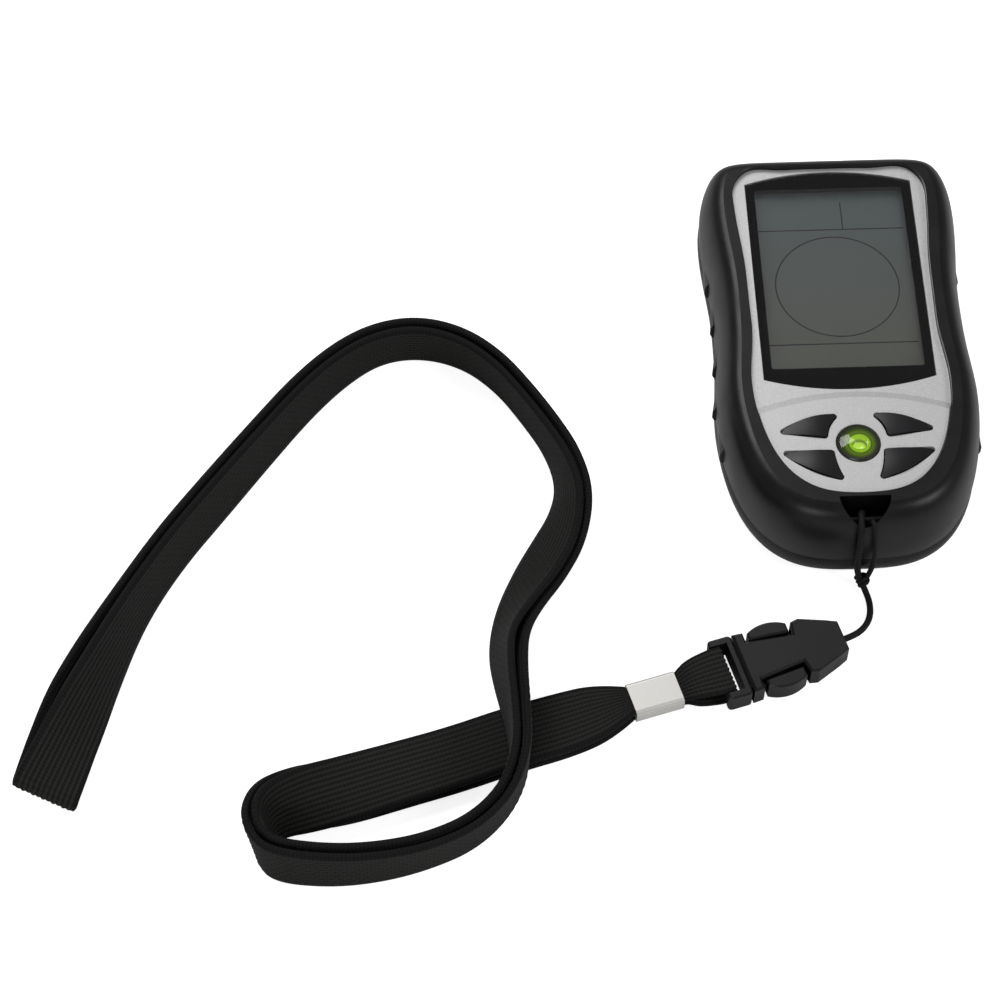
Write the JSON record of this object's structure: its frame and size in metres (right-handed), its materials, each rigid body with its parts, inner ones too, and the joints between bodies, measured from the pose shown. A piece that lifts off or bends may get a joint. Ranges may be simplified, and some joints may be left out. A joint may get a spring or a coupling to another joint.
{
  "type": "handheld altimeter",
  "caption": "Pocket altimeter and compass with screen, keys, bullseye level, battery door and a woven neck lanyard on a side-release buckle.",
  "frame": {"origin": "middle of the casing's resting back face", "axes": "+Z out of the screen, +Y towards the screen's far end, +X to the right as the screen is read"},
  "size_m": [0.2212, 0.1815, 0.0236],
  "materials": {
    "casing_black": "fine moulded satin black",
    "plate_silver": "satin silver paint",
    "gasket_black": "black print and adhesive border",
    "lens_clear": "clear polished window",
    "lcd_grey": "grey-green liquid crystal",
    "light_guide_white": "milky light guide",
    "elastomer_pink": "zebra strip",
    "board_green": "solder mask green",
    "chip_black": "epoxy",
    "metal_steel": "bright steel",
    "key_black": "gloss blue-black",
    "level_ring": "dark ring",
    "level_green": "green fluid",
    "level_clear": "clear dome",
    "cell_wrap": "plain cell wrap",
    "buckle_black": "acetal black",
    "webbing_black": "woven polyester",
    "cord_black": "braided nylon",
    "crimp_metal": "folded bright metal"
  },
  "bodies": {
    "unit": {"front_shell": "casing_black", "back_shell": "casing_black", "face_plate": "plate_silver", "lens_gasket": "gasket_black", "display_lens": "lens_clear", "lcd_panel": "lcd_grey", "light_guide": "light_guide_white", "elastomer_connectors": "elastomer_pink", "main_board": "board_green", "display_driver": "chip_black", "pressure_sensor": "metal_steel", "compass_sensor": "chip_black", "clock_crystal": "metal_steel", "buzzer": "chip_black", "board_parts": "chip_black", "level_cup": "level_ring", "level_fluid": "level_green", "level_cap": "level_clear", "cell_left": "cell_wrap", "cell_right": "cell_wrap", "battery_contacts": "metal_steel", "battery_springs": "metal_steel", "case_screws": "metal_steel", "board_screws": "metal_steel", "buckle_socket": "buckle_black", "buckle_plug": "buckle_black", "strap_crimp": "crimp_metal", "strap_tab": "webbing_black", "tether_cord": "cord_black", "tether_leg": "cord_black", "tether_knot": "cord_black", "strap_strand_inner": "webbing_black", "strap_strand_outer": "webbing_black", "strap_fold": "webbing_black", "snap_dome_upper_right": "metal_steel", "snap_dome_upper_left": "metal_steel", "snap_dome_lower_right": "metal_steel", "snap_dome_lower_left": "metal_steel"},
    "press_upper_right": {"key_upper_right": "key_black"},
    "press_upper_left": {"key_upper_left": "key_black"},
    "press_lower_right": {"key_lower_right": "key_black"},
    "press_lower_left": {"key_lower_left": "key_black"},
    "door": {"battery_door": "casing_black"},
    "arm_left": {"buckle_arm_left": "buckle_black"},
    "arm_right": {"buckle_arm_right": "buckle_black"}
  },
  "joints": [
    {"name": "press_upper_right", "type": "slide", "parent": "unit", "child": "press_upper_right", "axis": [0, 0, -1], "range_m": [0, 0.0005], "stiffness_N_per_m": 1500, "deforming": ["snap_dome_upper_right"]},
    {"name": "press_upper_left", "type": "slide", "parent": "unit", "child": "press_upper_left", "axis": [0, 0, -1], "range_m": [0, 0.0005], "stiffness_N_per_m": 1500, "deforming": ["snap_dome_upper_left"]},
    {"name": "press_lower_right", "type": "slide", "parent": "unit", "child": "press_lower_right", "axis": [0, 0, -1], "range_m": [0, 0.0005], "stiffness_N_per_m": 1500, "deforming": ["snap_dome_lower_right"]},
    {"name": "press_lower_left", "type": "slide", "parent": "unit", "child": "press_lower_left", "axis": [0, 0, -1], "range_m": [0, 0.0005], "stiffness_N_per_m": 1500, "deforming": ["snap_dome_lower_left"]},
    {"name": "door_open", "type": "hinge", "parent": "unit", "child": "door", "pos_m": [0, -0.027, 0.0002], "axis": [-1, 0, 0], "range_deg": [0, 70]},
    {"name": "squeeze_left", "type": "hinge", "parent": "unit", "child": "arm_left", "pos_m": [-0.02844, -0.07376, 0.0031], "axis": [0, 0, -1], "range_deg": [0, 4], "stiffness_Nm_per_rad": 0.02},
    {"name": "squeeze_right", "type": "hinge", "parent": "unit", "child": "arm_right", "pos_m": [-0.02601, -0.08221, 0.0031], "axis": [0, 0, 1], "range_deg": [0, 4], "stiffness_Nm_per_rad": 0.02}
  ]
}
